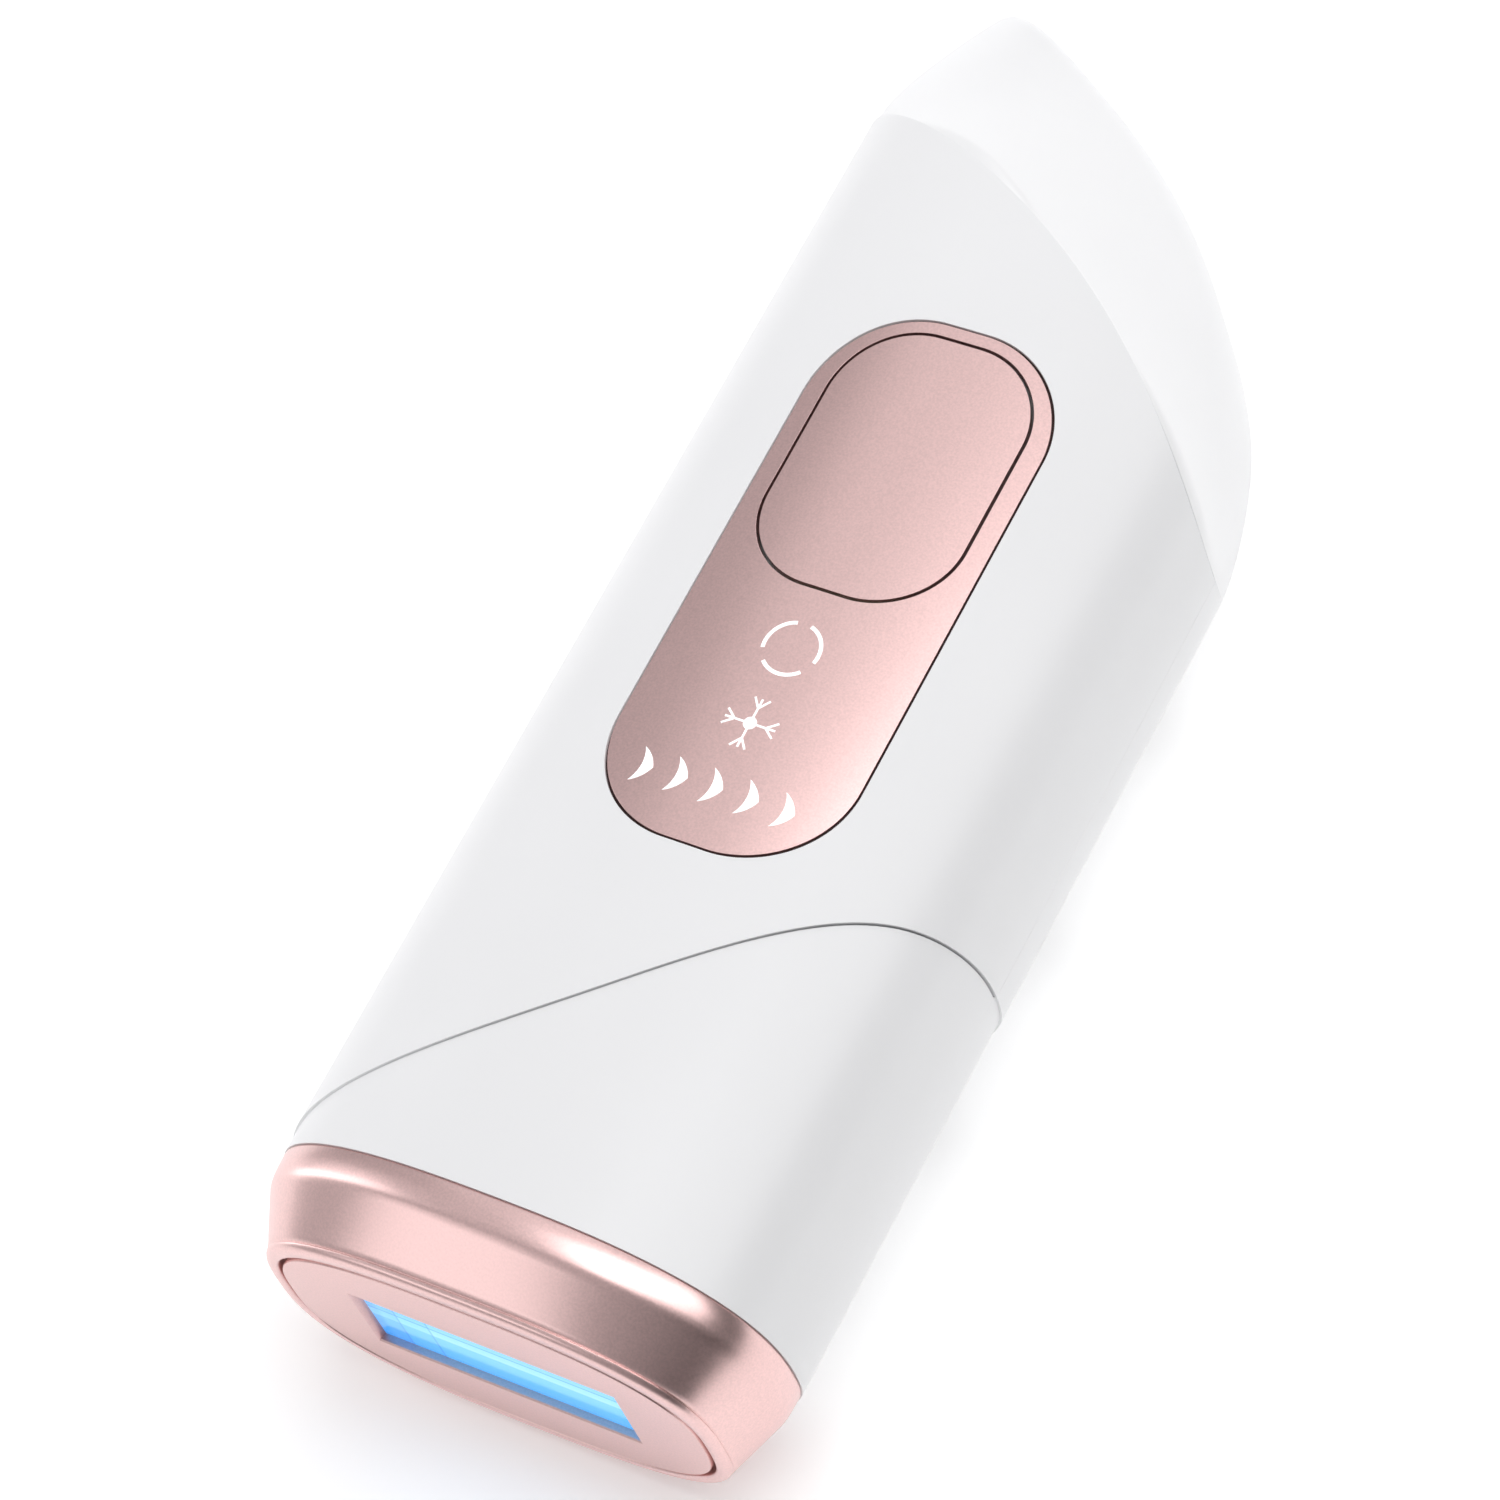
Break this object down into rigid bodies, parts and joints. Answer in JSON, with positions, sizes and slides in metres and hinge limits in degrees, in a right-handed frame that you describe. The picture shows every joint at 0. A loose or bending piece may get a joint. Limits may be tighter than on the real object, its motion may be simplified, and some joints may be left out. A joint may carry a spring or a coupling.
{
  "type": "hand-held light epilator",
  "caption": "Oval hand-held flash hair remover with a cooled skin window, trigger button panel, status icons and a slanted tail with a power socket.",
  "frame": {"origin": "under the middle of the length, on the flat of the back that it rests on", "axes": "+X across the width, +Y from treatment head to tail, +Z out of the front with the button"},
  "size_m": [0.0692, 0.1995, 0.0416],
  "materials": {
    "white_abs": "satin",
    "rose_gold_trim": "satin metallic",
    "rose_gold_aluminium": "satin",
    "sapphire": "clear",
    "silicone": "matte",
    "filter_glass": "clear",
    "quartz": "clear",
    "tungsten": "satin",
    "ceramic": "matte",
    "polished_aluminium": "polished",
    "black_pps": "matte",
    "copper": "satin",
    "fin_aluminium": "mill",
    "grey_nylon": "matte",
    "spring_steel": "bright",
    "fan_plastic": "satin",
    "milky_acrylic": "milky",
    "switch_cream": "matte",
    "led_resin": "clear",
    "green_board": "satin",
    "capacitor_sleeve": "gloss",
    "ferrite": "matte",
    "nickel_brass": "plated"
  },
  "bodies": {
    "handle": {"front_handle_shell": "white_abs", "rear_handle_shell": "white_abs", "front_head_shell": "white_abs", "rear_head_shell": "white_abs", "tail_cap": "white_abs", "collar": "rose_gold_trim", "decor_panel": "rose_gold_trim", "contact_switches": "black_pps", "button_switch": "black_pps", "power_transistors": "black_pps", "dc_jack_housing": "black_pps", "transformer_winding": "copper", "trigger_coil": "copper", "fan_stator": "copper", "head_chassis": "grey_nylon", "return_springs": "spring_steel", "shell_screws": "spring_steel", "fan_screws": "spring_steel", "control_pcb_screws": "spring_steel", "power_pcb_screws": "spring_steel", "fan_frame": "fan_plastic", "icon_light_guide": "milky_acrylic", "pcb_connectors": "switch_cream", "indicator_leds": "led_resin", "control_pcb": "green_board", "power_pcb": "green_board", "flash_capacitors": "capacitor_sleeve", "transformer_core": "ferrite", "dc_jack_pin": "nickel_brass", "dc_jack_terminals": "nickel_brass"},
    "light_engine": {"face_plate": "rose_gold_aluminium", "window_glass": "sapphire", "window_gasket": "silicone", "filter_glass": "filter_glass", "flash_lamp": "quartz", "lamp_electrodes": "tungsten", "lamp_holders": "ceramic", "reflector": "polished_aluminium", "lamp_housing": "black_pps", "thermoelectric_coolers": "ceramic", "heat_spreader": "copper", "heat_sink": "fin_aluminium"},
    "contact_pair": {"contact_plungers": "tungsten"},
    "button": {"button": "rose_gold_trim", "button_gasket": "silicone"},
    "button_switch_plunger": {"button_switch_plunger": "switch_cream"},
    "fan_rotor": {"fan_impeller": "fan_plastic"}
  },
  "joints": [
    {"name": "head_press", "type": "slide", "parent": "handle", "child": "light_engine", "axis": [0, 1, 0], "range_m": [0, 0.0008], "stiffness_N_per_m": 2500, "springref_m": -0.001, "deforming": ["return_springs"]},
    {"name": "contact_press", "type": "slide", "parent": "handle", "child": "contact_pair", "axis": [0, 1, 0], "range_m": [0, 0.0008], "stiffness_N_per_m": 200},
    {"name": "button_press", "type": "slide", "parent": "handle", "child": "button", "axis": [0, 0, -1], "range_m": [0, 0.0004], "stiffness_N_per_m": 2500, "springref_m": -0.0004},
    {"name": "switch_press", "type": "slide", "parent": "handle", "child": "button_switch_plunger", "axis": [0, 0, -1], "range_m": [0, 0.0004], "stiffness_N_per_m": 20},
    {"name": "fan_spin", "type": "hinge", "parent": "handle", "child": "fan_rotor", "pos_m": [0, -0.054, 0.0189], "axis": [0, 1, 0], "continuous": true}
  ],
  "couplings": [
    {"joint": "contact_press", "follows": "head_press", "ratio": 1},
    {"joint": "switch_press", "follows": "button_press", "ratio": 1}
  ]
}
